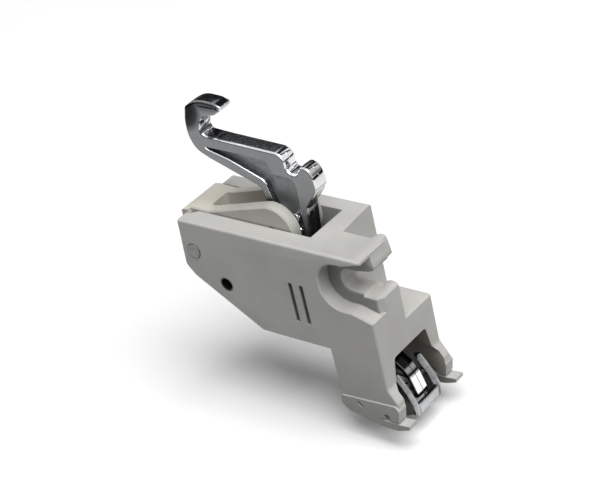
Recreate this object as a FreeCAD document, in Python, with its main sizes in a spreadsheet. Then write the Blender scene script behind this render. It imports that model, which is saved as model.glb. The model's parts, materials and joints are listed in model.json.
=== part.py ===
import FreeCAD, Part
import Sketcher
import math
import os
from types import SimpleNamespace

# Walking foot holder of a sewing machine: a grey moulding that the presser bar's
# thumbscrew clamps through a slot in its left wing, with a chrome feed arm that
# rides on a pivoting link and ends in a steel yoke between the moulding's two legs.
#
# Frame: millimetres, +X towards the person sewing, +Y to the machine's right, +Z up.
# The origin is the screw slot's axis where it leaves the wing's inner face, against
# which the presser bar lies. "Near" is the left side (-Y), "far" the right side (+Y).

SIZES = [
    # The moulding in side view
    ("near_side", 6.9, "near face to the wing's inner face"),
    ("holder_width", 15.4, "near face to far face"),
    ("top_height", 6.3, "slot axis to the top face"),
    ("rear_reach", 33.7, "slot axis to the rear top corner"),
    ("wing_reach", 5.1, "slot axis to the front of the wing"),
    ("leg_reach", 5.3, "slot axis to the front of the leg"),
    ("leg_depth", 10.7, "front of the leg to its back edge"),
    ("belly_drop", 13.2, "slot axis to the underside behind the leg"),
    ("belly_length", 14.4, "underside from the leg to where it slopes up"),
    ("slope_run", 13.0, "length of the sloping underside"),
    ("slope_rise", 8.3, "height of the sloping underside"),
    ("heel_rise", 2.0, "height of the rear lower corner"),
    ("rear_lean", 0.7, "how far the rear edge leans back"),
    ("leg_drop", 22.0, "slot axis to the foot ledge"),
    ("toe_reach", 1.5, "how far the toes stand in front of the leg"),
    ("wall", 1.6, "wall round the cavity"),
    ("edge_round", 0.45, "outer edges of the moulding"),
    # The wing with its screw slot and recess
    ("slot_radius", 2.2, "half the width of the screw slot"),
    ("slot_rim", 0.22, "rounded rim of the screw slot"),
    ("recess_radius", 4.45, "radius of the thumbscrew recess"),
    ("recess_rim", 0.25, "bevelled rim of the recess"),
    ("recess_depth", 2.85, "depth of the recess from the near face"),
    ("boss_chamfer_run", 1.05, "chamfer at the mouth, along X"),
    ("boss_chamfer_side", 1.0, "chamfer at the mouth, along Y"),
    ("lip_width", 2.7, "front lip of the wing, along X"),
    ("lip_side", 1.05, "how far the lip stands past the inner face"),
    ("lip_height", 0.46, "how far the lip stands above the top face at its far end"),
    ("notch_rear", 3.1, "slot axis to the block behind the presser bar"),
    ("notch_floor", 9.3, "slot axis down to the leg block's top"),
    # The cavity for link and arm
    ("pocket_front", 7.2, "slot axis to the pocket's front wall"),
    ("pocket_near", 3.35, "inner face to the pocket's near wall, towards -Y"),
    ("pocket_far", 5.35, "inner face to the pocket's far wall"),
    ("rear_step", 1.1, "how much wider the pocket is at the rear, near side"),
    ("rear_step_run", 2.3, "length of the wider rear stretch"),
    ("belly_opening", 9.6, "arm opening behind the leg, along X"),
    ("arch_drop", 14.2, "slot axis to the top of the leg's arch"),
    ("leg_wall", 2.4, "side wall of each leg"),
    # Grooves, open hole and moulding marks on the near face
    ("groove_width", 0.85, "index groove"),
    ("groove_length", 7.8, "index groove"),
    ("groove_depth", 0.7, "index groove"),
    ("groove_pitch", 2.3, "between the two grooves"),
    ("groove_rear", 11.3, "slot axis to the rear groove's rear edge"),
    ("groove_top", 1.2, "slot axis to the grooves' top ends"),
    ("side_hole_radius", 1.15, "open hole in the near wall"),
    ("side_hole_rear", 25.6, "slot axis to that hole"),
    ("side_hole_drop", 5.05, "slot axis to that hole"),
    # Feet with pin notch and spring finger
    ("foot_proud", 0.3, "how far the foot stands out of the leg's side"),
    ("foot_width", 2.25, "foot plate, along Y"),
    ("foot_height", 3.2, "ledge to the toe's lowest point"),
    ("finger_reach", 8.5, "slot axis to the finger's tip"),
    ("finger_thickness", 1.5, "spring finger at its root"),
    ("pin_notch_radius", 0.57, "notch for the foot's cross pin"),
    ("pin_notch_front", 4.06, "slot axis to the notch's centre"),
    ("slit", 0.16, "slit between toe and finger"),
    # Link and its pins
    ("link_pin_rear", 31.4, "slot axis to the link's pin"),
    ("link_pin_rise", 0.45, "slot axis up to the link's pin"),
    ("link_pin_radius", 1.0, "shank"),
    ("pin_head_radius", 1.33, "head of the link pin"),
    ("pin_head_height", 0.8, "head of the link pin"),
    ("running_gap", 0.05, "radial clearance of every pin"),
    ("arm_pin_rear", 15.7, "slot axis to the arm's pin"),
    ("arm_pin_rise", 5.5, "slot axis up to the arm's pin"),
    ("arm_pin_radius", 0.9, "arm pin"),
    ("cheek_thickness", 2.0, "link cheek"),
    ("cheek_radius", 4.55, "round front end of each cheek"),
    ("side_gap", 0.25, "link to pocket wall"),
    ("web_length", 4.6, "link web, along X"),
    ("link_bevel", 0.25, "outer edges of the link"),
    # Feed arm
    ("arm_thickness", 3.1, "arm, across Y"),
    ("arm_middle", 1.0, "inner face to the arm's middle plane"),
    ("arm_bevel", 0.22, "long edges of the casting"),
    ("arm_recess", 1.1, "depth of the arm's recess"),
    ("washer_radius", 1.7, "thrust washers on the arm pin"),
    ("washer_gap", 0.05, "play at each face of a washer"),
]


class Size:
    """A length together with the sheet expression that gives it."""

    def __init__(self, value, text):
        self.value = value
        self.text = text

    def join(self, other, sign, value, swap=False):
        text = other.text if isinstance(other, Size) else repr(float(other))
        left, right = (text, self.text) if swap else (self.text, text)
        return Size(value, "(" + left + sign + right + ")")

    def __add__(self, other):
        return self.join(other, " + ", self.value + number(other))

    def __radd__(self, other):
        return self.join(other, " + ", number(other) + self.value, swap=True)

    def __sub__(self, other):
        return self.join(other, " - ", self.value - number(other))

    def __rsub__(self, other):
        return self.join(other, " - ", number(other) - self.value, swap=True)

    def __mul__(self, other):
        return self.join(other, " * ", self.value * number(other))

    def __rmul__(self, other):
        return self.join(other, " * ", number(other) * self.value, swap=True)

    def __truediv__(self, other):
        return self.join(other, " / ", self.value / number(other))

    def __neg__(self):
        return self * -1.0


def number(item):
    return item.value if isinstance(item, Size) else float(item)


def open_document():
    document = FreeCAD.newDocument("WalkingFootHolder")
    sheet = document.addObject("Spreadsheet::Sheet", "Sizes")
    sheet.Label = "Sizes"
    sizes = SimpleNamespace()
    for row, (name, value, note) in enumerate(SIZES, start=1):
        sheet.set("A%d" % row, name)
        sheet.set("B%d" % row, str(value))
        sheet.set("C%d" % row, note)
        sheet.setAlias("B%d" % row, name)
        setattr(sizes, name, Size(float(value), "Sizes." + name))
    document.recompute()
    return document, sizes


def bind(target, path, size):
    """Set a property, and tie it to the sheet when it comes from there."""
    if isinstance(size, Size):
        target.setExpression(path, size.text)
    elif "." in path:
        target.setExpression(path, repr(float(size)))
    else:
        setattr(target, path, float(size))


def new_body(document, name):
    body = document.addObject("PartDesign::Body", name)
    body.Label = name
    return body


def plane_of(body, plane):
    for feature in body.Origin.OriginFeatures:
        if feature.Role == plane:
            return feature
    raise RuntimeError(plane)


class Drawing:
    """One sketch, with every corner, radius and ring fixed by a constraint."""

    def __init__(self, body, name, plane):
        self.sketch = body.newObject("Sketcher::SketchObject", name)
        self.sketch.AttachmentSupport = [(plane_of(body, plane), "")]
        self.sketch.MapMode = "FlatFace"
        self.geometry = []
        self.constraints = []
        self.bound = []

    def add(self, item, construction=False):
        self.geometry.append((item, construction))
        return len(self.geometry) - 1

    def hold(self, kind, *parts):
        value = parts[-1]
        if kind in ("DistanceX", "DistanceY", "Radius"):
            if isinstance(value, Size):
                self.bound.append((len(self.constraints), value))
            parts = parts[:-1] + (number(value),)
        self.constraints.append(Sketcher.Constraint(kind, *parts))

    def hold_point(self, index, position, x, y):
        self.hold("DistanceX", index, position, x)
        self.hold("DistanceY", index, position, y)

    def ring(self, x, y, radius):
        centre = FreeCAD.Vector(number(x), number(y), 0)
        circle = self.add(Part.Circle(centre, FreeCAD.Vector(0, 0, 1), number(radius)))
        self.hold_point(circle, 3, x, y)
        self.hold("Radius", circle, radius)

    def loop(self, corners):
        """Close a loop of (x, y) corners; (x, y, r) rounds the corner."""
        spots = [FreeCAD.Vector(number(c[0]), number(c[1]), 0) for c in corners]
        count = len(corners)
        ends = [self.round_ends(spots, corners, i) for i in range(count)]
        lines = []
        for i in range(count):
            start, finish = ends[i][1], ends[(i + 1) % count][0]
            lines.append(self.add(Part.LineSegment(start, finish)))
        for i, corner in enumerate(corners):
            before, after = lines[i - 1], lines[i]
            if len(corner) == 2:
                self.hold("Coincident", before, 2, after, 1)
                self.hold_point(after, 1, corner[0], corner[1])
            else:
                self.round_corner(corner, spots[i], ends[i], before, after)

    def round_ends(self, spots, corners, i):
        spot = spots[i]
        if len(corners[i]) == 2:
            return spot, spot, None, True
        back = (spots[i - 1] - spot).normalize()
        ahead = (spots[(i + 1) % len(spots)] - spot).normalize()
        half = back.getAngle(ahead) / 2
        radius = number(corners[i][2])
        reach = radius / math.tan(half)
        middle = (back + ahead).normalize() * (radius / math.sin(half))
        left = back.x * ahead.y - back.y * ahead.x < 0
        return spot + back * reach, spot + ahead * reach, spot + middle, left

    def round_corner(self, corner, spot, ends, before, after):
        entry, leave, centre, left = ends
        first, last = (entry, leave) if left else (leave, entry)
        start = math.atan2(first.y - centre.y, first.x - centre.x)
        finish = math.atan2(last.y - centre.y, last.x - centre.x)
        if finish < start:
            finish += 2 * math.pi
        circle = Part.Circle(centre, FreeCAD.Vector(0, 0, 1), number(corner[2]))
        arc = self.add(Part.ArcOfCircle(circle, start, finish))
        mark = self.add(Part.Point(spot), True)
        self.hold_point(mark, 1, corner[0], corner[1])
        self.hold("PointOnObject", mark, 1, before)
        self.hold("PointOnObject", mark, 1, after)
        self.hold("Tangent", before, 2, arc, 1 if left else 2)
        self.hold("Tangent", arc, 2 if left else 1, after, 1)
        self.hold("Radius", arc, corner[2])

    def close(self, offset):
        for item, construction in self.geometry:
            self.sketch.addGeometry(item, construction)
        self.sketch.addConstraint(self.constraints)
        for index, size in self.bound:
            self.sketch.setExpression("Constraints[%d]" % index, size.text)
        bind(self.sketch, "AttachmentOffset.Base.z", offset)
        return self.sketch


def draw(body, name, plane, loops, offset):
    drawing = Drawing(body, name + "_outline", plane)
    for loop in loops:
        if isinstance(loop, tuple):
            drawing.ring(*loop)
        else:
            drawing.loop(loop)
    return drawing.close(offset)


def checked(body, feature, grows):
    before = body.Shape.Volume if not body.Shape.isNull() else 0.0
    body.Document.recompute()
    after = body.Shape.Volume
    if (after > before + 1e-6) != grows or (after < before - 1e-6) == grows:
        raise RuntimeError("%s changed nothing: %g to %g" % (feature.Name, before, after))
    return feature


def pad(body, name, plane, loops, low, high):
    """Add material between two stations along the plane's axis."""
    offset = -1 * high if plane == "XZ_Plane" else low
    sketch = draw(body, name, plane, loops, offset)
    feature = body.newObject("PartDesign::Pad", name)
    feature.Profile = sketch
    bind(feature, "Length", high - low)
    sketch.Visibility = False
    return checked(body, feature, True)


def cut(body, name, plane, loops, low, high, taper=0.0):
    """Remove material between two stations along the plane's axis."""
    offset = -1 * low if plane == "XZ_Plane" else high
    sketch = draw(body, name, plane, loops, offset)
    feature = body.newObject("PartDesign::Pocket", name)
    feature.Profile = sketch
    feature.TaperAngle = taper
    bind(feature, "Length", high - low)
    sketch.Visibility = False
    return checked(body, feature, False)


def picked(base, chooses, name):
    edges = [
        "Edge%d" % i
        for i, edge in enumerate(base.Shape.Edges, start=1)
        if chooses(edge.BoundBox)
    ]
    if not edges:
        raise RuntimeError(name + " found no edge")
    return base, edges


def soften(body, name, radius, chooses):
    """Round the edges whose bounding box passes the test."""
    base = picked(body.Tip, chooses, name)
    feature = body.newObject("PartDesign::Fillet", name)
    feature.Base = base
    bind(feature, "Radius", radius)
    return checked(body, feature, False)


def bevel(body, name, size, chooses):
    """Bevel the edges whose bounding box passes the test."""
    base = picked(body.Tip, chooses, name)
    feature = body.newObject("PartDesign::Chamfer", name)
    feature.Base = base
    bind(feature, "Size", size)
    return checked(body, feature, False)


def on_side(*levels):
    """Picks edges that lie in one of the planes Y = level."""
    spots = [number(level) for level in levels]

    def chooses(box):
        return any(abs(box.YMin - spot) < 1e-4 and abs(box.YMax - spot) < 1e-4 for spot in spots)
    return chooses


FAR = 40.0
TAPER = -44.0


def holder_outline(s):
    back = s.leg_reach - s.leg_depth
    low = -s.belly_drop
    slope = back - s.belly_length
    toe = s.leg_reach + s.toe_reach
    return [
        (-s.rear_reach, s.top_height, 0.5),
        (s.wing_reach, s.top_height),
        (s.leg_reach, -5.5),
        (s.leg_reach, 3.3 - s.leg_drop, 1.5),
        (toe, 0.9 - s.leg_drop, 1.2),
        (toe, -s.leg_drop - 1.0),
        (back + 0.3, -s.leg_drop - 1.0),
        (back, low),
        (slope, low, 1.0),
        (slope - s.slope_run, low + s.slope_rise, 1.5),
        (-s.rear_reach - s.rear_lean, low + s.slope_rise + s.heel_rise, 1.5),
    ]


def foot_outline(s):
    back = s.leg_reach - s.leg_depth
    toe = s.leg_reach + s.toe_reach
    ledge = -s.leg_drop
    sole = ledge - s.foot_height - 1.45
    slit = sole + s.finger_thickness
    notch = s.pin_notch_front
    radius = s.pin_notch_radius
    return [
        (back + 0.35, ledge - 0.25, 0.4),
        (toe - 0.4, ledge + 0.4, 0.5),
        (toe + 0.1, ledge - 0.5, 0.5),
        (toe - 0.4, ledge - s.foot_height + 0.2, 0.3),
        (notch + radius + 0.3, slit + 0.28, 0.12),
        (notch + radius, slit + 0.9, 0.3),
        (notch + radius, slit + 1.4, 0.5),
        (notch - radius, slit + 1.4, 0.5),
        (notch - radius, slit + 0.15, 0.1),
        (1.5, slit + 0.07, 2.0),
        (-0.1, slit + 0.6, 1.5),
        (-0.9, slit + 1.5),
        (-0.9 - s.slit, slit + 1.5),
        (-0.15 - s.slit, slit + 0.6 - s.slit / 2, 1.6),
        (1.45, slit + 0.07 - s.slit, 2.1),
        (notch, slit + 0.1 - s.slit, 2.0),
        (6.2, slit - 0.1),
        (s.finger_reach - 0.1, slit + 0.1),
        (s.finger_reach, slit - 0.55, 0.25),
        (5.9, sole + 0.02, 4.0),
        (2.6, sole, 4.0),
        (back + 1.6, sole + 1.4, 2.5),
        (back + 0.1, ledge - 1.9, 1.0),
    ]


def make_holder(document, s):
    body = new_body(document, "holder_body")
    near = -s.near_side
    far = s.holder_width - s.near_side
    top = s.top_height
    front = s.wing_reach
    middle = (near + far) / 2

    pad(body, "block", "XZ_Plane", [holder_outline(s)], near, far)
    soften(body, "block_edges", s.edge_round, on_side(near, far))
    pad(body, "near_foot", "XZ_Plane", [foot_outline(s)],
        near - s.foot_proud, near - s.foot_proud + s.foot_width)
    pad(body, "far_foot", "XZ_Plane", [foot_outline(s)],
        far + s.foot_proud - s.foot_width, far + s.foot_proud)

    notch = [
        (-s.notch_rear, 0.0),
        (FAR, 0.0),
        (FAR, far + 1.0),
        (-s.notch_rear - 0.7, far + 1.0),
    ]
    cut(body, "bar_notch", "XY_Plane", [notch], -s.notch_floor, top + 1.0)
    soften(body, "leg_top_edge", 0.35, leg_top_edge(s))
    cut_screw_opening(body, s, near)
    add_lips(body, s)
    cut_cavity(body, s, near, far, middle)
    cut_side_details(body, s, near, far)
    return body


def leg_top_edge(s):
    level = number(-s.notch_floor)
    front = number(s.leg_reach)

    def chooses(box):
        return (abs(box.ZMin - level) < 1e-4 and abs(box.ZMax - level) < 1e-4
                and box.XMin > front - 0.01 and box.YMax - box.YMin > 4)
    return chooses


def recess_outline(s, grown):
    """The thumbscrew's recess: round at the rear, widening towards the front."""
    size = s.recess_radius + grown
    return [
        (-size, size + 0.1, size - 0.25),
        (1.0, size + 0.15, 3.0),
        (9.8, size + 2.75),
        (9.8, -size - 2.3),
        (1.3, 0.2 - size, 3.0),
        (-size, 0.2 - size, size - 0.45),
    ]


def cut_screw_opening(body, s, near):
    floor = near + s.recess_depth
    rim = s.recess_rim
    cut(body, "recess", "XZ_Plane", [recess_outline(s, 0.0)], near - 1.0, floor)
    cut(body, "recess_rim", "XZ_Plane", [recess_outline(s, rim)], near, near + rim, TAPER)
    mouth = [
        (0.0, -s.slot_radius),
        (2.0, -s.slot_radius, 2.0),
        (9.8, -s.slot_radius - 1.4),
        (9.8, s.slot_radius + 2.0),
        (1.8, s.slot_radius, 2.0),
        (0.0, s.slot_radius),
    ]
    cut(body, "slot_round", "XZ_Plane", [(0.0, 0.0, s.slot_radius)], floor - 0.5, 1.0)
    cut(body, "slot_mouth", "XZ_Plane", [mouth], floor - 0.5, 1.0)
    soften(body, "slot_rim_edge", s.slot_rim, slot_rim_edges(s, floor))
    corner = [
        (s.leg_reach - s.boss_chamfer_run, floor - 0.01),
        (s.leg_reach + 1.0, floor - 0.01),
        (s.leg_reach + 1.0, floor + s.boss_chamfer_side * 2.0),
    ]
    cut(body, "boss_bevel", "XY_Plane", [corner], -5.42, 0.0)


def slot_rim_edges(s, floor):
    reach = number(s.slot_radius) + 0.9
    in_floor = on_side(floor)

    def chooses(box):
        return in_floor(box) and box.XMin > -reach and box.ZMin > -reach and box.ZMax < reach
    return chooses


def add_lips(body, s):
    """Front lips that keep the presser bar from sliding forward, highest at the far end."""
    front = s.leg_reach
    top = s.top_height
    slot = s.slot_radius
    start = s.recess_depth - s.near_side
    low = [
        (front - 3.3, -s.notch_floor - 0.5),
        (front - 3.3, -slot - 1.6, 0.5),
        (front - 2.3, -slot - 0.4, 0.5),
        (front - 1.6, -slot, 0.6),
        (front - 0.5, -slot, 0.6),
        (front, -slot - 0.5, 0.4),
        (front, -s.notch_floor - 0.5),
    ]
    pad(body, "lower_lip", "XZ_Plane", [low], start + 0.95, s.lip_side)
    low_slope = [
        (start, -slot - 0.62),
        (0.0, -slot, 1.5),
        (s.lip_side + 0.5, -slot),
        (s.lip_side + 0.5, 0.0),
        (start, 0.0),
    ]
    cut(body, "lower_lip_slope", "YZ_Plane", [low_slope], front - 3.4, front + 1.0)
    high = [
        (front - s.lip_width, slot + 0.3),
        (front - 0.9, slot + 0.6, 0.6),
        (front + 0.05, slot + 1.15, 0.6),
        (front, top - 2.0, 2.0),
        (front - 0.3, top - 0.4, 0.5),
        (front - 0.6, top + s.lip_height, 0.4),
        (front - 1.5, top + s.lip_height, 0.8),
        (front - s.lip_width, top - 0.1),
    ]
    pad(body, "upper_lip", "XZ_Plane", [high], start, s.lip_side)
    ridge = [
        (front - s.lip_width, top - 0.4),
        (front - 0.3, top - 0.4, 0.5),
        (front - 0.6, top + s.lip_height, 0.4),
        (front - 1.5, top + s.lip_height, 0.8),
        (front - s.lip_width, top - 0.1),
    ]
    pad(body, "upper_ridge", "XZ_Plane", [ridge], 0.6 - s.near_side, start + 0.1)
    high_slope = [
        (-s.near_side, top - 0.02),
        (s.lip_side, top + s.lip_height),
        (s.lip_side + 0.5, top + s.lip_height),
        (s.lip_side + 0.5, top + 2.0),
        (-s.near_side, top + 2.0),
    ]
    cut(body, "upper_lip_slope", "YZ_Plane", [high_slope], front - s.lip_width - 0.5, front + 1.0)


def cut_cavity(body, s, near, far, middle):
    top = s.top_height
    back = s.leg_reach - s.leg_depth
    slope = back - s.belly_length
    wall = s.wall
    opening = back - s.belly_opening
    pocket = [
        (-FAR, top + 2.0),
        (-s.pocket_front, top + 2.0),
        (-s.pocket_front, -7.4, 1.0),
        (-0.6, -s.arch_drop),
        (-0.6, -FAR),
        (opening, -FAR),
        (opening, wall - s.belly_drop),
        (slope + 0.5, wall - s.belly_drop, 0.8),
        (slope - s.slope_run * 1.5 + 0.5, wall - s.belly_drop + s.slope_rise * 1.5),
        (-FAR, wall - s.belly_drop + s.slope_rise * 1.5),
    ]
    cut(body, "pocket", "XZ_Plane", [pocket], -s.pocket_near, s.pocket_far)
    step = [
        (-FAR, near + 2.45),
        (-FAR, 0.0),
        (-s.rear_reach + s.rear_step_run, 0.0),
        (-s.rear_reach + s.rear_step_run, -s.pocket_near, 0.4),
        (-s.rear_reach + s.rear_step_run - 1.1, -s.pocket_near - s.rear_step),
        (-s.rear_reach - 0.2, -s.pocket_near - s.rear_step),
    ]
    cut(body, "rear_step", "XY_Plane", [step], -1.2, top + 2.0)
    half = s.holder_width / 2 - s.leg_wall
    arch = [
        (middle - half + 0.85, -s.arch_drop, 0.7),
        (middle - half + 0.1, -s.arch_drop - 4.2),
        (middle - half - 0.65, -s.arch_drop - 5.6),
        (middle - half - 0.45, -FAR),
        (middle + half + 0.45, -FAR),
        (middle + half + 0.65, -s.arch_drop - 5.6),
        (middle + half - 0.1, -s.arch_drop - 4.2),
        (middle + half - 0.85, -s.arch_drop, 0.7),
    ]
    cut(body, "leg_arch", "YZ_Plane", [arch], back - 1.0, FAR)


def cut_side_details(body, s, near, far):
    width = s.groove_width
    low = -s.groove_top - s.groove_length
    grooves = []
    for left in (-s.groove_rear, s.groove_pitch - s.groove_rear):
        grooves.append([
            (left, -s.groove_top, 0.25),
            (left, low, 0.25),
            (left + width, low, 0.25),
            (left + width, -s.groove_top, 0.25),
        ])
    cut(body, "index_grooves", "XZ_Plane", grooves, near - 1.0, near + s.groove_depth)
    hole = (-s.side_hole_rear, -s.side_hole_drop, s.side_hole_radius)
    cut(body, "side_hole", "XZ_Plane", [hole], near - 1.0, 0.0)
    pin = (-s.link_pin_rear, s.link_pin_rise, s.link_pin_radius)
    head = (-s.link_pin_rear, s.link_pin_rise, s.pin_head_radius + 0.12)
    cut(body, "link_pin_hole", "XZ_Plane", [pin], near - 1.0, far + 1.0)
    cut(body, "link_pin_seat", "XZ_Plane", [head], near - 1.0, near + s.pin_head_height - 0.2)
    cut(body, "link_ring_seat", "XZ_Plane", [head], far - 0.6, far + 1.0)
    eye = [
        (-1.95, -s.leg_drop - 1.02, 0.3),
        (-1.0, -s.leg_drop - 1.9, 0.3),
        (-0.52, -s.leg_drop - 1.4, 0.3),
        (-1.47, -s.leg_drop - 0.52, 0.3),
    ]
    cut(body, "near_slit_eye", "XZ_Plane", [eye], near - 1.0, near + 3.0)
    cut(body, "far_slit_eye", "XZ_Plane", [eye], far - 3.0, far + 1.0)


def from_link_pin(s, corners):
    return [(c[0] - s.link_pin_rear, c[1] + s.link_pin_rise) + tuple(c[2:]) for c in corners]


def from_arm_pin(s, corners):
    return [(c[0] - s.arm_pin_rear, c[1] + s.arm_pin_rise) + tuple(c[2:]) for c in corners]


def make_link(document, s):
    body = new_body(document, "link_frame")
    low = s.side_gap - s.pocket_near
    high = s.pocket_far - s.side_gap
    rise = s.arm_pin_rise - s.link_pin_rise
    run = s.link_pin_rear - s.arm_pin_rear
    nose = s.cheek_radius
    side = from_link_pin(s, [
        (-3.6, -1.9, 1.6),
        (-3.6, 5.9, 0.5),
        (-2.1, 6.15),
        (1.8, 6.0, 3.0),
        (run + nose, rise + nose + 1.4, nose - 0.04),
        (run + nose, rise - nose + 0.79, nose - 0.04),
        (2.2, -2.2, 2.0),
    ])
    pad(body, "plank", "XZ_Plane", [side], low, high)
    bevel(body, "plank_edges", s.link_bevel, on_side(low, high))
    pad(body, "rear_wing", "XZ_Plane", [from_link_pin(s, [
        (-3.6, 0.9), (-3.6, 5.9, 0.5), (-2.2, 6.1), (-1.9, 0.9),
    ])], low - 0.85, low + 0.4)
    window = [
        (s.web_length - 3.6 - s.link_pin_rear, low + s.cheek_thickness, 0.3),
        (FAR, low + s.cheek_thickness),
        (FAR, high - s.cheek_thickness),
        (s.web_length - 3.6 - s.link_pin_rear, high - s.cheek_thickness, 0.3),
    ]
    cut(body, "window", "XY_Plane", [window], -FAR, FAR)
    under = from_link_pin(s, [
        (-2.5, -FAR), (-2.5, 2.9, 0.6), (2.4, 2.9), (2.4, -FAR),
    ])
    cut(body, "web_relief", "XZ_Plane", [under],
        low + s.cheek_thickness, high - s.cheek_thickness)
    link_hole = (-s.link_pin_rear, s.link_pin_rise, s.link_pin_radius + s.running_gap)
    arm_hole = (-s.arm_pin_rear, s.arm_pin_rise, s.arm_pin_radius)
    cut(body, "pin_holes", "XZ_Plane", [link_hole, arm_hole], low - 1.0, high + 1.0)
    return body


ARM_OUTLINE = [
    (-12.9, 20.95, 1.6),
    (-8.9, 20.85, 1.2),
    (-7.4, 20.2, 0.35),
    (-7.85, 19.6, 0.3),
    (-9.9, 17.85, 0.4),
    (-12.0, 18.5, 1.4),
    (-13.7, 16.5, 1.7),
    (-13.0, 14.45, 1.5),
    (-8.9, 14.2),
    (3.95, 13.75, 1.0),
    (3.75, 10.35, 1.1),
    (5.65, 10.25, 0.8),
    (6.9, 12.1, 0.5),
    (8.4, 11.75, 1.5),
    (9.25, 10.2, 3.5),
    (9.55, 7.9, 0.9),
    (6.65, 4.3, 1.6),
    (5.95, -1.3),
    (6.1, -11.4, 3.0),
    (11.4, -18.5, 3.0),
    (17.2, -22.9, 2.0),
    (19.5, -24.8, 0.6),
    (20.6, -26.4, 0.6),
    (21.55, -29.4, 0.5),
    (21.5, -30.5, 0.5),
    (19.3, -30.7, 0.7),
    (17.3, -26.7, 1.5),
    (9.2, -20.9, 2.5),
    (3.8, -12.9, 3.0),
    (3.5, -2.9, 1.5),
    (-3.0, -2.9, 2.6),
    (-2.6, 2.9, 2.0),
    (-3.35, 6.35, 0.8),
    (-5.0, 7.1, 3.0),
    (-13.0, 9.9, 9.0),
    (-15.7, 11.2, 3.3),
    (-16.8, 13.8, 5.0),
    (-16.65, 16.5, 9.0),
    (-15.9, 19.4, 0.7),
]

ARM_RECESS = [
    (-13.75, 11.9, 0.2),
    (-12.1, 10.65, 1.0),
    (-3.4, 8.0, 1.2),
    (0.1, 3.2, 0.8),
    (3.0, 2.9, 0.8),
    (4.5, 0.3, 0.4),
    (4.55, 7.0),
    (4.85, 8.95, 0.4),
    (0.9, 9.55, 0.6),
    (0.1, 11.4, 0.5),
    (-4.3, 10.9),
]


def arm_outline(s):
    """The casting's outline, whose tail keeps its place in the leg."""
    down = 22.0 - s.leg_drop
    ahead = s.leg_reach - 5.3
    corners = []
    for corner in ARM_OUTLINE:
        if corner[1] < -15.0:
            corner = (corner[0] + ahead, corner[1] + down) + corner[2:]
        corners.append(corner)
    return from_arm_pin(s, corners)


def make_arm(document, s):
    body = new_body(document, "feed_arm")
    low = s.arm_middle - s.arm_thickness / 2
    high = s.arm_middle + s.arm_thickness / 2
    pad(body, "casting", "XZ_Plane", [arm_outline(s)], low, high)
    bevel(body, "casting_edges", s.arm_bevel, on_side(low, high))
    cut(body, "recess", "XZ_Plane", [from_arm_pin(s, ARM_RECESS)], low - 1.0, low + s.arm_recess)
    hub = (-s.arm_pin_rear, s.arm_pin_rise, s.arm_pin_radius + s.running_gap)
    tail = (s.leg_reach - 1.35, -s.leg_drop - 0.7, 0.75)
    cut(body, "hub_bore", "XZ_Plane", [hub], low - 1.0, high + 1.0)
    cut(body, "tail_bore", "XZ_Plane", [tail], low - 1.0, high + 1.0)
    stud = (3.7 - s.arm_pin_rear, s.arm_pin_rise + 2.0, 0.84)
    cut(body, "stud_bore", "XZ_Plane", [stud], low - 1.0, low + 2.4)
    return body


def cylinder_body(document, name, x, z, radius, low, high):
    body = new_body(document, name)
    pad(body, name + "_shank", "XZ_Plane", [(x, z, radius)], low, high)
    return body


def tube_body(document, name, x, z, inner, outer, low, high):
    body = new_body(document, name)
    pad(body, name + "_disc", "XZ_Plane", [(x, z, outer), (x, z, inner)], low, high)
    return body


def make_link_pin(document, s):
    near = -s.near_side
    far = s.holder_width - s.near_side
    x, z = -s.link_pin_rear, s.link_pin_rise
    body = cylinder_body(document, "link_pivot_pin", x, z, s.link_pin_radius,
                         near + 0.2, far - 0.05)
    pad(body, "head", "XZ_Plane", [(x, z, s.pin_head_radius)],
        near - 0.2, near + s.pin_head_height - 0.2)
    ring = tube_body(document, "pin_ring", x, z, s.link_pin_radius - 0.2,
                     s.pin_head_radius, far - 0.6, far - 0.25)
    groove = [(x, z, s.link_pin_radius + 0.5), (x, z, s.link_pin_radius - 0.2)]
    cut(body, "ring_groove", "XZ_Plane", groove, far - 0.6, far - 0.25)
    return body, ring


def make_arm_pin_set(document, s):
    low = s.side_gap - s.pocket_near
    high = s.pocket_far - s.side_gap
    arm_low = s.arm_middle - s.arm_thickness / 2
    arm_high = s.arm_middle + s.arm_thickness / 2
    x, z = -s.arm_pin_rear, s.arm_pin_rise
    bore = s.arm_pin_radius + s.running_gap
    pin = cylinder_body(document, "arm_pivot_pin", x, z, s.arm_pin_radius,
                        low + 0.1, high - 0.1)
    near = tube_body(document, "near_washer", x, z, bore, s.washer_radius,
                     low + s.cheek_thickness, arm_low - s.washer_gap)
    far = tube_body(document, "far_washer", x, z, bore, s.washer_radius,
                    arm_high + s.washer_gap, high - s.cheek_thickness)
    stud = cylinder_body(document, "arm_stud", 3.7 - s.arm_pin_rear, s.arm_pin_rise + 2.0,
                         0.84, arm_low - 0.42, arm_low + 2.4)
    return pin, near, far, stud


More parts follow.
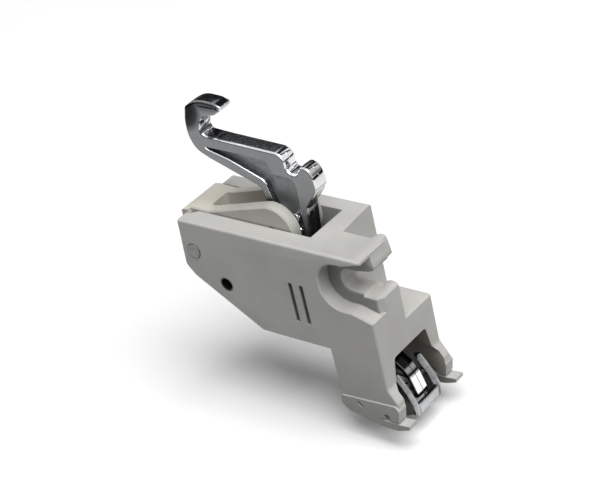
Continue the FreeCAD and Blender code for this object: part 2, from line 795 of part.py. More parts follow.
def make_yoke(document, s):
    body = new_body(document, "coupling_yoke")
    front = s.leg_reach + 1.6
    level = -s.leg_drop
    half = 3.6
    sheet = 0.72
    side = [
        (front - 3.2, level + 2.6, 0.5),
        (front - 1.1, level - 0.4, 0.6),
        (front, level - 2.8, 0.5),
        (front, level - 4.85, 0.3),
        (front - 3.4, level - 6.3, 0.8),
        (front - 5.5, level - 4.0, 1.2),
        (front - 4.6, level + 2.4, 0.7),
    ]
    low = s.arm_middle - half
    high = s.arm_middle + half
    pad(body, "channel", "XZ_Plane", [side], low, high)
    inside = [
        (front - sheet, low + sheet, 0.35),
        (front - sheet, high - sheet, 0.35),
        (front - 9.0, high - sheet),
        (front - 9.0, low + sheet),
    ]
    cut(body, "channel_inside", "XY_Plane", [inside], level - 8.0, level + 3.0)
    clear = [
        (low + sheet, level - 2.8),
        (high - sheet, level - 2.8),
        (high - sheet, level + 3.0),
        (low + sheet, level + 3.0),
    ]
    cut(body, "channel_mouth", "YZ_Plane", [clear], front - 1.5, front + 1.0)
    hole = (s.leg_reach - 1.35, level - 0.7, 0.7)
    cut(body, "yoke_pin_holes", "XZ_Plane", [hole], low - 1.0, high + 1.0)
    pin = cylinder_body(document, "yoke_pin", hole[0], hole[1], hole[2], low + 0.02, high - 0.02)
    return body, pin


def export(document):
    os.makedirs("parts", exist_ok=True)
    for thing in document.Objects:
        if "Invalid" in thing.State or "Error" in thing.State:
            raise RuntimeError("%s is %s" % (thing.Name, thing.State))
    for body in document.Objects:
        if body.TypeId != "PartDesign::Body":
            continue
        if body.Shape.isNull() or not body.Shape.isValid() or len(body.Shape.Solids) != 1:
            raise RuntimeError(body.Label + " has no single valid solid")
        body.Shape.exportStep("parts/" + body.Label + ".step")


def main():
    document, sizes = open_document()
    make_holder(document, sizes)
    make_link(document, sizes)
    make_arm(document, sizes)
    make_link_pin(document, sizes)
    make_arm_pin_set(document, sizes)
    make_yoke(document, sizes)
    document.recompute()
    export(document)


main()
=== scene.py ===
import json
import math

import bmesh
import bpy
from mathutils import Matrix, Vector


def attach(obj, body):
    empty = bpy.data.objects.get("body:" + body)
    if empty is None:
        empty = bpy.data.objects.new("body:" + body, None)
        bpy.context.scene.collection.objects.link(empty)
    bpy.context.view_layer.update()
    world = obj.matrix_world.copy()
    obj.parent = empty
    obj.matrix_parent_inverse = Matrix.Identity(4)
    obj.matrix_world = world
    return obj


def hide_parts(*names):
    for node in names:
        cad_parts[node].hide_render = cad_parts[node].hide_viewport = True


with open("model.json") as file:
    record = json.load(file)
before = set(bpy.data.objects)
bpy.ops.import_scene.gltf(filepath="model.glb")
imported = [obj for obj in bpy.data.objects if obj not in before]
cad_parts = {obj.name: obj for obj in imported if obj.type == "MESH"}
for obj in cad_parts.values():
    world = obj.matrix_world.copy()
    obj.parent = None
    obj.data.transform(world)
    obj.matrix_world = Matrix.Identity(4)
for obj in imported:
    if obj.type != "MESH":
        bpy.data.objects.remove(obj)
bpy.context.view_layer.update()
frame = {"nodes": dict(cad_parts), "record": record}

MM = 0.001

# The photograph's camera, worked out from the moulding's straight edges.
IMAGE_WIDTH = 600
CAMERA_AZIMUTH = math.radians(44.729)
CAMERA_ELEVATION = math.radians(31.939)
CAMERA_ROLL = math.radians(-13.547)
CAMERA_TARGET = Vector((-12.05, 0.6, -3.7)) * MM
CAMERA_DISTANCE = 299.3 * MM
FOCAL_PIXELS = 1796.0
TARGET_PIXEL = (314.16 - 300.0, 269.91 - 250.0)
SENSOR_WIDTH = 36.0

FLOOR_LEVEL = -30.5 * MM


def add_camera():
    az, el, roll = CAMERA_AZIMUTH, CAMERA_ELEVATION, CAMERA_ROLL
    right = Vector((math.cos(az), math.sin(az), 0))
    back = Vector((math.sin(az) * math.cos(el), -math.cos(az) * math.cos(el), math.sin(el)))
    up = back.cross(right)
    turned_right = math.cos(roll) * right + math.sin(roll) * up
    turned_up = math.cos(roll) * up - math.sin(roll) * right
    data = bpy.data.cameras.new("camera")
    data.sensor_width = SENSOR_WIDTH
    data.lens = FOCAL_PIXELS / IMAGE_WIDTH * SENSOR_WIDTH
    data.shift_x = -TARGET_PIXEL[0] / IMAGE_WIDTH
    data.shift_y = TARGET_PIXEL[1] / IMAGE_WIDTH
    data.clip_start = 0.01
    camera = bpy.data.objects.new("camera", data)
    turn = Matrix((turned_right, turned_up, back)).transposed().to_4x4()
    camera.matrix_world = Matrix.Translation(CAMERA_TARGET + back * CAMERA_DISTANCE) @ turn
    bpy.context.scene.collection.objects.link(camera)
    bpy.context.scene.camera = camera


# Places on the moulding and the casting where light, shade and reflections are painted: centre and reach
# in the XZ plane, in mm.
SIDE_HOLE = ((-25.6, -5.05), (1.5, 1.5))
GROOVES = ((-9.7, -2.7), (4.5, 8.0))
THUMBSCREW_RECESS = ((0.5, -0.8), (7.5, 6.3))
SCREW_SLOT = ((-0.6, -0.3), (5.0, 5.4))
HOOK_CORNER = ((-32.6, 25.0), (5.2, 5.4))
HOOK_BROW = ((-27.2, 26.4), (6.5, 2.2))
HOOK_THROAT = ((-28.4, 20.9), (4.2, 3.9))
ARM_NOSE = ((-7.3, 13.4), (3.3, 5.2))
ARM_NECK = ((-8.6, 5.0), (3.5, 6.2))

# Stations across the part, in mm.
LEGS_MIDDLE = 0.8
RECESS_FLOOR = -4.05

HOLDER_GREY = (0.533, 0.527, 0.503)
LINK_GREY = (0.5, 0.49, 0.455)
# The link's creamier colour is painted light.
LINK_PAINTED_CREAM = (0.72, 0.69, 0.61)
# Dark chrome colours for painted shade and reflections; the darker one also colours the parting seam.
CHROME_PAINTED_DARK = (0.05, 0.05, 0.055)
CHROME_SHADE_AND_SEAM = (0.03, 0.03, 0.032)


class Nodes:
    """A short way to write one material's nodes."""

    def __init__(self, name):
        self.material = bpy.data.materials.new(name)
        self.material.use_nodes = True
        self.tree = self.material.node_tree
        self.shader = self.tree.nodes["Principled BSDF"]
        coordinates = self.new("ShaderNodeTexCoord").outputs
        self.place = coordinates["Object"]
        self.x, self.y, self.z = self.split(self.place)
        self.facing_x, self.facing_y, self.facing_z = self.split(coordinates["Normal"])

    def new(self, kind, **settings):
        node = self.tree.nodes.new(kind)
        for key, value in settings.items():
            setattr(node, key, value)
        return node

    def link(self, source, target):
        self.tree.links.new(source, target)

    def fill(self, socket, value):
        if isinstance(value, tuple):
            socket.default_value = (*value, 1.0)
        elif isinstance(value, (int, float)):
            socket.default_value = value
        else:
            self.link(value, socket)

    def set(self, **values):
        for key, value in values.items():
            self.fill(self.shader.inputs[key.replace("_", " ")], value)

    def split(self, vector):
        node = self.new("ShaderNodeSeparateXYZ")
        self.link(vector, node.inputs[0])
        return [node.outputs[axis] for axis in "XYZ"]

    def noise(self, scale, detail=3.0, roughness=0.5, place=None):
        node = self.new("ShaderNodeTexNoise")
        node.inputs["Scale"].default_value = scale
        node.inputs["Detail"].default_value = detail
        node.inputs["Roughness"].default_value = roughness
        self.link(place or self.place, node.inputs["Vector"])
        return node.outputs["Fac"]

    def ramp(self, factor, stops):
        node = self.new("ShaderNodeValToRGB")
        while len(node.color_ramp.elements) < len(stops):
            node.color_ramp.elements.new(0.5)
        for element, (position, color) in zip(node.color_ramp.elements, stops):
            element.position = position
            element.color = (*color, 1.0) if isinstance(color, tuple) else (color,) * 3 + (1.0,)
        self.link(factor, node.inputs["Fac"])
        return node.outputs["Color"]

    def rise(self, value, start, end):
        """0 up to the start, 1 from the end on, and a straight slope between them."""
        node = self.new("ShaderNodeMapRange")
        self.link(value, node.inputs["Value"])
        node.inputs["From Min"].default_value = start
        node.inputs["From Max"].default_value = end
        return node.outputs["Result"]

    def span(self, value, start, end):
        """The same slope for a length, with its two ends in mm."""
        return self.rise(value, start * MM, end * MM)

    def math(self, operation, first, second=0.0, clamp=False):
        node = self.new("ShaderNodeMath", operation=operation, use_clamp=clamp)
        self.fill(node.inputs[0], first)
        self.fill(node.inputs[1], second)
        return node.outputs[0]

    def both(self, first, second):
        return self.math("MULTIPLY", first, second)

    def either(self, first, second):
        return self.math("MAXIMUM", first, second)

    def less(self, first, second):
        return self.math("SUBTRACT", first, second, clamp=True)

    def size(self, value):
        return self.math("ABSOLUTE", value)

    def distance(self, value, centre):
        return self.size(self.math("SUBTRACT", value, centre * MM))

    def mix(self, factor, first, second):
        node = self.new("ShaderNodeMix", data_type="RGBA")
        for socket, value in zip((node.inputs[0], node.inputs[6], node.inputs[7]),
                                 (factor, first, second)):
            self.fill(socket, value)
        return node.outputs[2]

    def multiply(self, first, second, factor=1.0):
        node = self.new("ShaderNodeMix", data_type="RGBA", blend_type="MULTIPLY")
        node.inputs[0].default_value = factor
        self.link(first, node.inputs[6])
        self.link(second, node.inputs[7])
        return node.outputs[2]

    def stretch(self, scale):
        node = self.new("ShaderNodeMapping")
        node.inputs["Scale"].default_value = scale
        self.link(self.place, node.inputs["Vector"])
        return node.outputs["Vector"]

    def spot(self, patch, stops):
        """A ramp of the nearness to a patch's centre, which is 1 there and 0 at its reach."""
        (x, z), (reach_x, reach_z) = patch
        node = self.new("ShaderNodeMapping")
        node.inputs["Scale"].default_value = (1 / (reach_x * MM), 0.0, 1 / (reach_z * MM))
        node.inputs["Location"].default_value = (-x / reach_x, 0.0, -z / reach_z)
        self.link(self.place, node.inputs["Vector"])
        ball = self.new("ShaderNodeTexGradient", gradient_type="SPHERICAL")
        self.link(node.outputs["Vector"], ball.inputs["Vector"])
        return self.ramp(ball.outputs["Fac"], stops)

    def bump(self, height, strength, distance, under=None):
        node = self.new("ShaderNodeBump")
        node.inputs["Strength"].default_value = strength
        node.inputs["Distance"].default_value = distance
        self.link(height, node.inputs["Height"])
        if under is not None:
            self.link(under, node.inputs["Normal"])
        return node.outputs["Normal"]


def hollow_shade_mask(n):
    """How deep a place lies between the legs, for the painted shade there: 0 outside, 1 well inside."""
    between = n.span(n.distance(n.y, LEGS_MIDDLE), 6.08, 5.92)
    below = n.span(n.z, -13.6, -14.0)
    behind = n.span(n.x, 6.4, 1.6)
    inner = n.rise(n.facing_x, 0.75, 0.35)
    return n.both(n.both(between, below), n.both(behind, inner))


def painted_foot_shade(n):
    """Painted shade: rises from 0 to about a half on the outer side faces, down the leg to the foot."""
    side = n.rise(n.size(n.facing_y), 0.6, 0.95)
    low = n.ramp(n.span(n.z, 0.0, -30.0), [(0.45, 0.0), (0.667, 0.22), (0.9, 0.55)])
    return n.both(side, low)


def slot_painted_light(n):
    """Painted light: 1 on the walls of the screw slot, behind the floor of the thumbscrew recess."""
    deep = n.both(n.span(n.y, -3.95, -3.6), n.span(n.y, 2.0, 1.0))
    return n.both(deep, n.spot(SCREW_SLOT, [(0.0, 0.0), (0.3, 1.0)]))


def painted_recess_shade(n):
    """Painted shade: 1 on the floor of the thumbscrew recess."""
    level = n.span(n.distance(n.y, RECESS_FLOOR), 0.3, 0.1)
    return n.both(level, n.spot(THUMBSCREW_RECESS, [(0.0, 0.0), (0.12, 1.0)]))


def painted_groove_shade(n):
    """Painted shade: 1 inside the two grooves of the near face."""
    deep = n.both(n.span(n.y, -6.84, -6.66), n.span(n.y, -6.0, -6.1))
    return n.both(deep, n.spot(GROOVES, [(0.0, 0.0), (0.1, 1.0)]))


def hole_shade(n):
    """1 within the open side hole's bore and behind it, where hardly any light reaches."""
    deep = n.both(n.span(n.y, -6.99, -6.88), n.span(n.y, 6.0, 5.2))
    return n.both(deep, n.spot(SIDE_HOLE, [(0.02, 0.0), (0.12, 1.0)]))


def holder_painted_shading(n, base):
    """The holder's painted shade in its hollows, towards its feet, on its recess floor, in its grooves
    and in its side hole, and painted light on its slot walls.
    """
    # Painted shade between the legs.
    depth = n.ramp(hollow_shade_mask(n), [(0.0, (1.0, 1.0, 1.0)), (0.3, (0.7, 0.63, 0.54)),
                                   (1.0, (0.13, 0.11, 0.09))])
    # Painted light on the screw slot's walls.
    slot_light_color = tuple(c * 1.45 for c in HOLDER_GREY)
    # Painted shade on the recess floor.
    recess_shade_color = tuple(c * 0.45 for c in HOLDER_GREY)
    # Painted shade on the outer side faces towards the feet.
    base = n.mix(painted_foot_shade(n), n.multiply(base, depth), (0.1, 0.1, 0.095))
    base = n.mix(n.both(slot_painted_light(n), 0.75), base, slot_light_color)
    base = n.mix(n.both(painted_recess_shade(n), 0.9), base, recess_shade_color)
    # Painted shade inside the grooves.
    base = n.mix(n.both(painted_groove_shade(n), 0.75), base, (0.05, 0.045, 0.035))
    return n.mix(hole_shade(n), base, (0.004, 0.004, 0.004))


def link_painted_light(n, base):
    """Painted light: a creamier colour at the link's rear, against the arm's shadow, and on the inner
    face of its far cheek.
    """
    near_side = n.rise(n.facing_y, -0.4, -0.8)
    rear = n.less(n.span(n.x, -22.32, -32.4), near_side)
    inner = n.both(n.span(n.y, 0.2, 0.6), near_side)
    return n.mix(n.either(rear, inner), base, LINK_PAINTED_CREAM)


def moulded_plastic(name, color, light_and_shade, grain=1.0):
    """Satin moulded plastic: spark-eroded grain, faint flow clouds and the piece's painted light and
    shade.
    """
    n = Nodes(name)
    clouds = n.noise(160.0, detail=4.0)
    fine = n.noise(4200.0, detail=2.0)
    dark = tuple(c * 0.93 for c in color)
    light = tuple(c * 1.05 for c in color)
    cloudy = n.ramp(clouds, [(0.3, dark), (0.5, color), (0.72, light)])
    speck = n.ramp(fine, [(0.32, 0.9), (0.5, 1.0), (0.7, 1.03)])
    base = light_and_shade(n, n.multiply(cloudy, speck, 0.5))
    rough = n.ramp(clouds, [(0.3, 0.46), (0.7, 0.38)])
    skin = n.bump(fine, 0.22 * grain, 0.00006)
    wave = n.bump(n.noise(900.0, detail=2.0), 0.10 * grain, 0.0002, skin)
    n.set(Base_Color=base, Roughness=rough, Normal=wave)
    n.set(Specular_IOR_Level=0.45, Subsurface_Weight=0.06, Subsurface_Scale=0.0008)
    n.shader.inputs["Subsurface Radius"].default_value = (1.0, 0.9, 0.75)
    return n.material


def chrome_painted_reflections(n, side, upward, pits):
    """The casting's reflections painted by facing: pitted top painted darker towards the hook, bright
    edges with a painted dark line, satin sides painted mid grey.
    """
    top_reflection = n.mix(n.span(n.x, -30.0, -10.8), (0.35, 0.36, 0.39), (0.54, 0.56, 0.6))
    top = n.mix(n.rise(pits, 0.42, 0.68), top_reflection, (0.95, 0.96, 0.98))
    # A painted dark line just inside the bright edges, where the sides reflect the dark horizon.
    dark_reflection_line = n.ramp(n.size(n.facing_y), [(0.8, 0.0), (0.9, 0.9), (0.96, 0.9), (0.985, 0.0)])
    color = n.mix(dark_reflection_line, n.mix(upward, (0.76, 0.77, 0.79), top), CHROME_PAINTED_DARK)
    return n.mix(side, color, (0.215, 0.222, 0.228))


def hook_painted_reflections(n, color, side):
    """The hook's painted dark reflections: its black corner and brow, and the streaks in its throat."""
    corner = n.spot(HOOK_CORNER, [(0.05, 0.0), (0.3, 0.88), (0.5, 1.0)])
    brow = n.spot(HOOK_BROW, [(0.1, 0.0), (0.6, 0.68)])
    color = n.mix(n.either(corner, brow), color, (0.008, 0.008, 0.009))
    reflection_streaks = n.ramp(n.noise(620.0, detail=2.0, place=n.stretch((1.0, 0.35, 1.6))),
                     [(0.46, 0.0), (0.54, 0.9)])
    throat = n.less(n.spot(HOOK_THROAT, [(0.05, 0.0), (0.35, 1.0)]), side)
    return n.mix(n.both(throat, reflection_streaks), color, CHROME_PAINTED_DARK)


def nose_painted_reflections(n, color, ahead):
    """Painted reflections: the bands that the room draws across the rounded nose, and the dark neck
    below it.
    """
    reflection_bands = n.ramp(n.span(n.z, 0.0, 20.0),
                   [(0.5, 0.05), (0.575, 0.05), (0.6, 0.85), (0.67, 0.9), (0.685, 0.3), (0.7, 0.72),
                    (0.79, 0.6), (0.81, 0.06), (0.835, 0.5)])
    nose = n.less(n.spot(ARM_NOSE, [(0.05, 0.0), (0.2, 1.0)]), n.size(n.facing_y))
    neck_reflection = n.both(n.spot(ARM_NECK, [(0.1, 0.0), (0.4, 0.85)]), ahead)
    return n.mix(neck_reflection, n.mix(nose, color, reflection_bands), CHROME_PAINTED_DARK)


def tail_painted_reflections(n, color, inside, seam):
    """The tail between the legs: bright and dark bands of painted reflection framed in painted black
    shade, with a dark seam.
    """
    reflection_bands = n.ramp(n.span(n.z, -27.0, 0.0),
                   [(0.07, 0.06), (0.089, 0.4), (0.105, 0.04), (0.122, 0.97), (0.226, 0.97),
                    (0.234, 0.02), (0.246, 0.02), (0.252, 0.24), (0.272, 0.32), (0.284, 0.01),
                    (0.5, 0.01)])
    border_shade = n.ramp(n.size(n.facing_y), [(0.35, 0.0), (0.6, 0.95), (0.97, 0.95), (0.99, 0.3)])
    color = n.mix(inside, color, n.mix(border_shade, reflection_bands, CHROME_SHADE_AND_SEAM))
    return n.mix(n.both(seam, inside), color, CHROME_SHADE_AND_SEAM)


def chrome_casting(name):
    """Plated zinc casting: mirror edges, satin sides, and painted reflections and shade that make it
    darker towards the hook and the tail.
    """
    n = Nodes(name)
    side = n.rise(n.size(n.facing_y), 0.94, 0.985)
    upward = n.rise(n.facing_z, 0.9, 0.98)
    ahead = n.rise(n.size(n.facing_x), 0.55, 0.9)
    inside = n.ramp(n.span(n.z, -27.0, 0.0), [(0.5, 1.0), (0.62, 0.75), (0.93, 0.0)])
    seam = n.span(n.distance(n.y, (ARM_NEAR + ARM_FAR) / 2), 0.096, 0.024)
    pits = n.noise(4300.0, detail=4.0, roughness=0.65)
    haze = n.noise(420.0, detail=3.0)
    color = hook_painted_reflections(n, chrome_painted_reflections(n, side, upward, pits), side)
    color = tail_painted_reflections(n, nose_painted_reflections(n, color, ahead), inside, seam)
    rough_edge = n.ramp(haze, [(0.35, 0.05), (0.7, 0.11)])
    rough_top = n.ramp(pits, [(0.3, 0.12), (0.7, 0.28)])
    rough_flat = n.ramp(haze, [(0.3, 0.3), (0.7, 0.38)])
    rough = n.mix(side, n.mix(upward, rough_edge, rough_top), rough_flat)
    surface = n.bump(pits, 0.16, 0.00005)
    line = n.bump(n.both(seam, ahead), 0.6, 0.00006, surface)
    n.set(Base_Color=color, Roughness=rough, Normal=line, Metallic=1.0)
    return n.material


def steel(name, color, rough, metallic=1.0):
    """Rolled or turned steel with fine scratches along X."""
    n = Nodes(name)
    lines = n.noise(900.0, detail=4.0, place=n.stretch((0.12, 3.0, 3.0)))
    spots = n.noise(1500.0, detail=3.0)
    dark = tuple(c * 0.78 for c in color)
    tone = n.ramp(spots, [(0.3, dark), (0.62, color)])
    shine = n.ramp(lines, [(0.3, rough * 0.75), (0.7, rough * 1.35)])
    skin = n.bump(lines, 0.12, 0.00004)
    n.set(Base_Color=tone, Roughness=shine, Normal=skin, Metallic=metallic)
    return n.material


def sheet_steel(name):
    """Folded strip: brushed bright edges and front with a painted highlight on the bevelled margins, and
    painted shade on the sides and inside.
    """
    n = Nodes(name)
    lines = n.noise(1500.0, detail=3.0, place=n.stretch((0.9, 0.1, 0.6)))
    across = n.size(n.facing_y)
    side = n.rise(across, 0.965, 0.99)
    margin = n.rise(across, 0.7, 0.85)
    back = n.rise(n.facing_x, 0.2, 0.0)
    bright = n.ramp(lines, [(0.3, (0.36, 0.37, 0.385)), (0.7, (0.56, 0.57, 0.585))])
    margin_highlight = n.ramp(lines, [(0.3, (0.46, 0.47, 0.48)), (0.7, (0.72, 0.73, 0.74))])
    # Painted shade on the side faces and back faces, and a painted highlight on the bevelled margins.
    color = n.mix(n.either(side, back), n.mix(margin, bright, margin_highlight), (0.035, 0.034, 0.033))
    shine = n.ramp(lines, [(0.3, 0.2), (0.7, 0.34)])
    metal = n.ramp(margin, [(0.0, 1.0), (1.0, 0.25)])
    n.set(Base_Color=color, Roughness=shine, Normal=n.bump(lines, 0.06, 0.00004), Metallic=metal)
    return n.material


def body_of(node):
    for body, nodes in frame["record"]["behaviour"]["bodies"].items():
        if node in nodes:
            return body
    raise KeyError(node)


MERGE_DISTANCE = 0.002 * MM
FLAT_ANGLE = math.radians(0.4)
SHARP_ANGLE = math.radians(32.0)


def softened(node, material, width, segments=3):
    """Add a copy of the node with rounded edges, which stands for the node itself."""
    name = node + "_skin"
    source = frame["nodes"][node].data
    bm = bmesh.new()
    bm.from_mesh(source)
    bmesh.ops.remove_doubles(bm, verts=bm.verts, dist=MERGE_DISTANCE)
    bmesh.ops.dissolve_limit(bm, angle_limit=FLAT_ANGLE, verts=bm.verts, edges=bm.edges)
    mesh = bpy.data.meshes.new(name)
    bm.to_mesh(mesh)
    bm.free()
    for attribute in [a.name for a in mesh.attributes if a.name in ("custom_normal", "sharp_face")]:
        mesh.attributes.remove(mesh.attributes[attribute])
    mesh.shade_smooth()
    mesh.materials.clear()
    mesh.materials.append(material)
    thing = bpy.data.objects.new(name, mesh)
    bpy.context.scene.collection.objects.link(thing)
    bevel = thing.modifiers.new("edges", "BEVEL")
    bevel.width = width
    bevel.segments = segments
    bevel.limit_method = "ANGLE"
    bevel.angle_limit = SHARP_ANGLE
    bevel.harden_normals = True
    bevel.use_clamp_overlap = True
    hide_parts(node)
    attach(thing, body_of(node))


def side_profile(edge, depth, low, high, ridge, steps=6):
    """(inset, station) pairs from the near face over the rounded edges to the far face."""
    turns = [math.pi / 2 * i / steps for i in range(steps + 1)]
    near = [(edge * 1.25 + ridge, low)]
    near += [(edge * (1 - math.sin(t)) + ridge, low + depth * (1 - math.cos(t))) for t in turns]
    far = [(inset, low + high - station) for inset, station in reversed(near)]
    return near + [(0.0, (low + high) / 2)] + far


def far_half(profile):
    return profile[len(profile) // 2 + 1:]


ARC_STEP = math.radians(7.0)


def arc_points(before, corner, after, radius):
    """Points and outward normals of a rounded corner of a loop that runs anticlockwise."""
    spot = Vector(corner[:2])
    back = (Vector(before[:2]) - spot).normalized()
    ahead = (Vector(after[:2]) - spot).normalized()
    half = back.angle(ahead) / 2
    centre = spot + (back + ahead).normalized() * (radius / math.sin(half))
    first = spot + back * (radius / math.tan(half)) - centre
    turn = math.pi - 2 * half
    bulges = back.cross(ahead) < 0
    sweep = turn if bulges else -turn
    count = max(4, int(turn / ARC_STEP))
    points = []
    for i in range(count + 1):
        arm = first.copy()
        arm.rotate(Matrix.Rotation(sweep * i / count, 2))
        normal = arm.normalized() * (1.0 if bulges else -1.0)
        points.append((centre + arm, normal))
    return points


def smooth_loop(corners):
    """Points with outward normals along a loop of (u, v) or (u, v, radius) corners."""
    area = sum(a[0] * b[1] - b[0] * a[1] for a, b in zip(corners, corners[1:] + corners[:1]))
    if area < 0:
        corners = corners[::-1]
    points = []
    for i, corner in enumerate(corners):
        before, after = corners[i - 1], corners[(i + 1) % len(corners)]
        points += arc_points(before, corner, after, corner[2] if len(corner) > 2 else 0.05)
    return points


def ring_loop(u, v, radius, count=40):
    turns = [2 * math.pi * i / count for i in range(count)]
    normals = [Vector((math.cos(t), math.sin(t))) for t in turns]
    return [(Vector((u, v)) + n * radius, n) for n in normals]


CREASE_ANGLE = math.radians(38.0)


class Casting:
    """A plate-like solid in mesh code: smooth outlines, rounded edges, bores and recesses."""

    def __init__(self, place):
        self.bm = bmesh.new()
        self.place = place

    def ring(self, loop, inset, station):
        verts = [self.bm.verts.new(self.place(p - n * inset, station)) for p, n in loop]
        for a, b in zip(verts, verts[1:] + verts[:1]):
            self.bm.edges.new((a, b))
        return verts

    def wall(self, loop, profile, material=0):
        rings = [self.ring(loop, inset, station) for inset, station in profile]
        for lower, upper in zip(rings, rings[1:]):
            for i in range(len(loop)):
                j = (i + 1) % len(loop)
                face = self.bm.faces.new((lower[i], lower[j], upper[j], upper[i]))
                face.material_index = material
        return rings[0], rings[-1]

    def cap(self, *rings, material=0):
        edges = []
        for ring in rings:
            edges += [self.bm.edges.get((a, b)) for a, b in zip(ring, ring[1:] + ring[:1])]
        made = bmesh.ops.triangle_fill(self.bm, use_beauty=True, use_dissolve=False, edges=edges)
        for face in made["geom"]:
            if isinstance(face, bmesh.types.BMFace):
                face.material_index = material

    def finish(self, name, *materials):
        bmesh.ops.recalc_face_normals(self.bm, faces=self.bm.faces)
        mesh = bpy.data.meshes.new(name)
        self.bm.to_mesh(mesh)
        self.bm.free()
        mesh.shade_smooth()
        mesh.set_sharp_from_angle(angle=CREASE_ANGLE)
        for material in materials:
            mesh.materials.append(material)
        thing = bpy.data.objects.new(name, mesh)
        bpy.context.scene.collection.objects.link(thing)
        flats = thing.modifiers.new("flats", "WEIGHTED_NORMAL")
        flats.keep_sharp = True
        return thing


# Outlines as (u, v, corner radius) in mm. The arm's are measured from its pivot pin.
ARM_OUTLINE = [
    (-12.9, 21.3, 5.5), (-8.9, 21.1, 3.8), (-7.4, 20.35, 0.35), (-7.85, 19.6, 0.3),
    (-9.5, 18.6, 1.5), (-12.6, 17.6, 1.5), (-13.75, 14.5, 0.95),
    (-8.9, 14.2, 3.0), (3.95, 13.75, 2.0), (3.75, 10.35, 1.1), (5.65, 10.25, 0.8),
    (6.9, 12.15, 1.0), (8.45, 11.85, 1.5), (9.3, 10.2, 3.5), (9.55, 7.9, 2.2),
    (6.65, 4.3, 1.6), (5.95, -1.3, 3.0), (6.1, -11.4, 3.0), (11.4, -18.5, 3.0),
    (17.2, -22.9, 2.0), (19.5, -24.8, 0.6), (20.6, -26.4, 0.6), (21.55, -29.4, 0.5),
    (21.5, -30.5, 0.5), (19.3, -30.7, 0.7), (17.3, -26.7, 1.5), (9.2, -20.9, 2.5),
    (3.8, -12.9, 3.0), (3.5, -2.9, 1.5), (-3.0, -2.9, 2.6), (-2.2, 2.9, 2.0),
    (-2.8, 6.3, 1.5), (-5.2, 7.15, 6.0), (-13.0, 9.9, 9.0), (-15.7, 11.2, 3.3),
    (-16.8, 13.8, 5.0), (-16.65, 16.5, 9.0), (-15.9, 19.4, 1.1),
]
ARM_RECESS = [
    (-13.85, 12.2, 0.15), (-12.7, 11.65, 1.0), (-8.5, 10.6, 8.0), (-1.5, 7.85, 1.8),
    (-0.3, 3.1, 0.8), (2.2, 0.9, 0.8), (4.6, -0.8, 0.4), (4.95, 7.5, 3.0), (4.65, 9.25, 0.4),
    (0.75, 9.5, 0.6), (-0.3, 11.8, 0.5), (-5.6, 12.1, 3.0),
]
ARM_PIN = Vector((-15.7, 5.5))
ARM_NEAR, ARM_FAR = -0.55, 2.55
ARM_PIN_HOLE = (0.0, 0.0, 0.95)
ARM_TAIL_HOLE = (19.65, -28.2, 0.75)
ARM_RECESS_EDGE = 0.22
ARM_RECESS_DEPTH = 1.1
CROWN_HEIGHT = 17.5
TAIL_HEIGHT = -16.0


def arm_place(point, station):
    return Vector((point.x + ARM_PIN.x, station, point.y + ARM_PIN.y)) * MM


def edge_swell(height):
    """How much wider the edges are rounded at the hook's crown and at the tail."""
    crown = min(max((height - CROWN_HEIGHT) / 2.5, 0.0), 1.0)
    tail = min(max((TAIL_HEIGHT - height) / 4.0, 0.0), 1.0)
    return 1.0 + 0.75 * crown + 0.3 * tail


def add_feed_arm(material, wall_material, floor_material):
    """The plated arm: two drafted halves that meet in a parting ridge at mid thickness."""
    casting = Casting(arm_place)
    outer = [(p, n * edge_swell(p.y)) for p, n in smooth_loop(ARM_OUTLINE)]
    near, far = casting.wall(outer, side_profile(0.4, 0.42, ARM_NEAR, ARM_FAR, 0.05))
    bore = [(-0.08, ARM_NEAR), (0.0, ARM_NEAR + 0.08), (0.0, ARM_FAR - 0.08), (-0.08, ARM_FAR)]
    hub_near, hub_far = casting.wall(ring_loop(*ARM_PIN_HOLE), bore)
    tail_near, tail_far = casting.wall(ring_loop(*ARM_TAIL_HOLE), bore)
    recess = [(p, n * (0.45 if n.y > 0.3 else 1.0)) for p, n in smooth_loop(ARM_RECESS)]
    steps = [(-0.32, 0.0), (-0.22, 0.0), (-0.14, 0.02), (-0.05, 0.09), (0.0, ARM_RECESS_EDGE)]
    rim = casting.wall(recess, [(inset, ARM_NEAR + drop) for inset, drop in steps])[0]
    walls = [(0.0, ARM_NEAR + ARM_RECESS_EDGE), (0.0, ARM_NEAR + ARM_RECESS_DEPTH)]
    bottom = casting.wall(recess, walls, material=1)[1]
    casting.cap(near, hub_near, tail_near, rim)
    casting.cap(bottom, material=2)
    casting.cap(far, hub_far, tail_far)
    thing = casting.finish("feed_arm_casting", material, wall_material, floor_material)
    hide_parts("feed_arm")
    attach(thing, body_of("feed_arm"))


YOKE_SIDE = [
    (3.75, -19.1, 0.5), (5.85, -22.2, 0.6), (6.9, -24.75, 0.5), (6.85, -26.9, 0.25),
    (3.5, -28.3, 0.8), (1.4, -26.0, 1.2), (2.3, -19.6, 0.7),
]
YOKE_FRONT = [(-1.78, -24.75, 0.1), (-1.78, -26.8, 0.1), (3.8, -26.8, 0.1), (3.8, -24.75, 0.1)]
YOKE_FRONT_REACH = (6.15, 6.87)
YOKE_PIN_HOLE = (3.95, -22.7, 0.7)
# Near side, far side and bevelled margin of each plate.
YOKE_PLATES = ((-2.6, -1.88, 0.62), (3.88, 4.6, 0.95))


